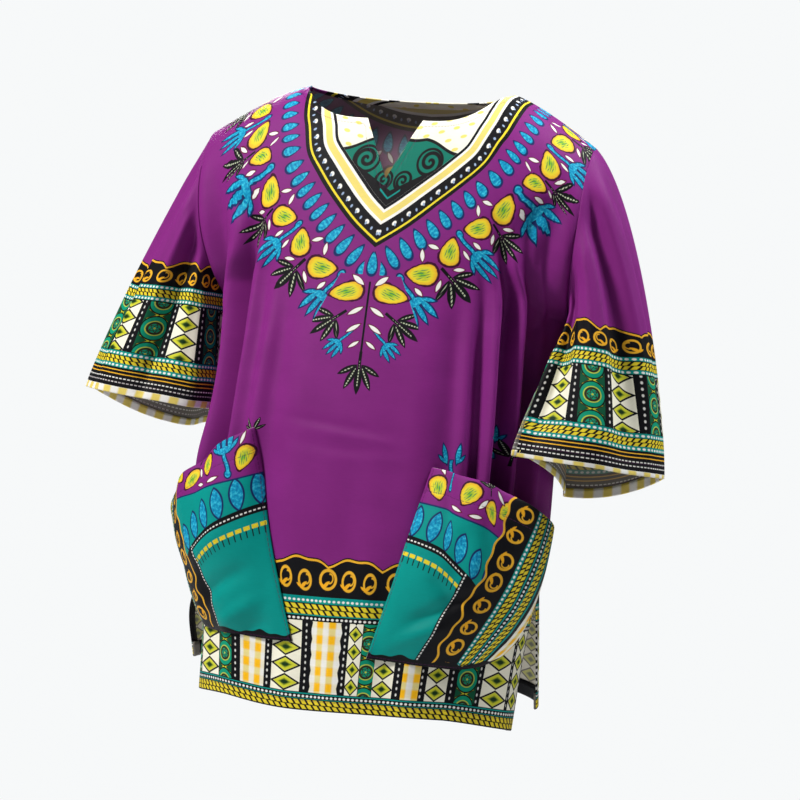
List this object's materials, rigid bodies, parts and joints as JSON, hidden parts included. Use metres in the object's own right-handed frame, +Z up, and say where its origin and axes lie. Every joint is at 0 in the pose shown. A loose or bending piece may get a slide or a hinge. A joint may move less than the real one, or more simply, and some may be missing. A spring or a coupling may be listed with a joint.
{
  "type": "dashiki shirt",
  "caption": "Child's short-sleeved pullover dashiki shirt, hollow as worn, with a notched neck, wide sleeves, two patch pockets and side slits.",
  "frame": {"origin": "midway between the two points where the neck edge meets the shoulder line, at the height where the shirt hangs on the shoulders", "axes": "+Z up, the front faces -Y, +X towards the wearer's left sleeve"},
  "size_m": [0.5304, 0.1968, 0.533],
  "materials": {
    "printed_cotton_body": "plain-weave cotton with a light sheen, purple ground with a printed yoke and hem border",
    "printed_cotton_sleeve": "plain-weave cotton, purple ground with a deep printed border at the cuff",
    "printed_cotton_pocket": "plain-weave cotton, teal ground with a printed arc and side border"
  },
  "bodies": {
    "root": {"front": "printed_cotton_body", "back": "printed_cotton_body", "sleeve_left": "printed_cotton_sleeve", "sleeve_right": "printed_cotton_sleeve", "pocket_left": "printed_cotton_pocket", "pocket_right": "printed_cotton_pocket"}
  },
  "joints": []
}
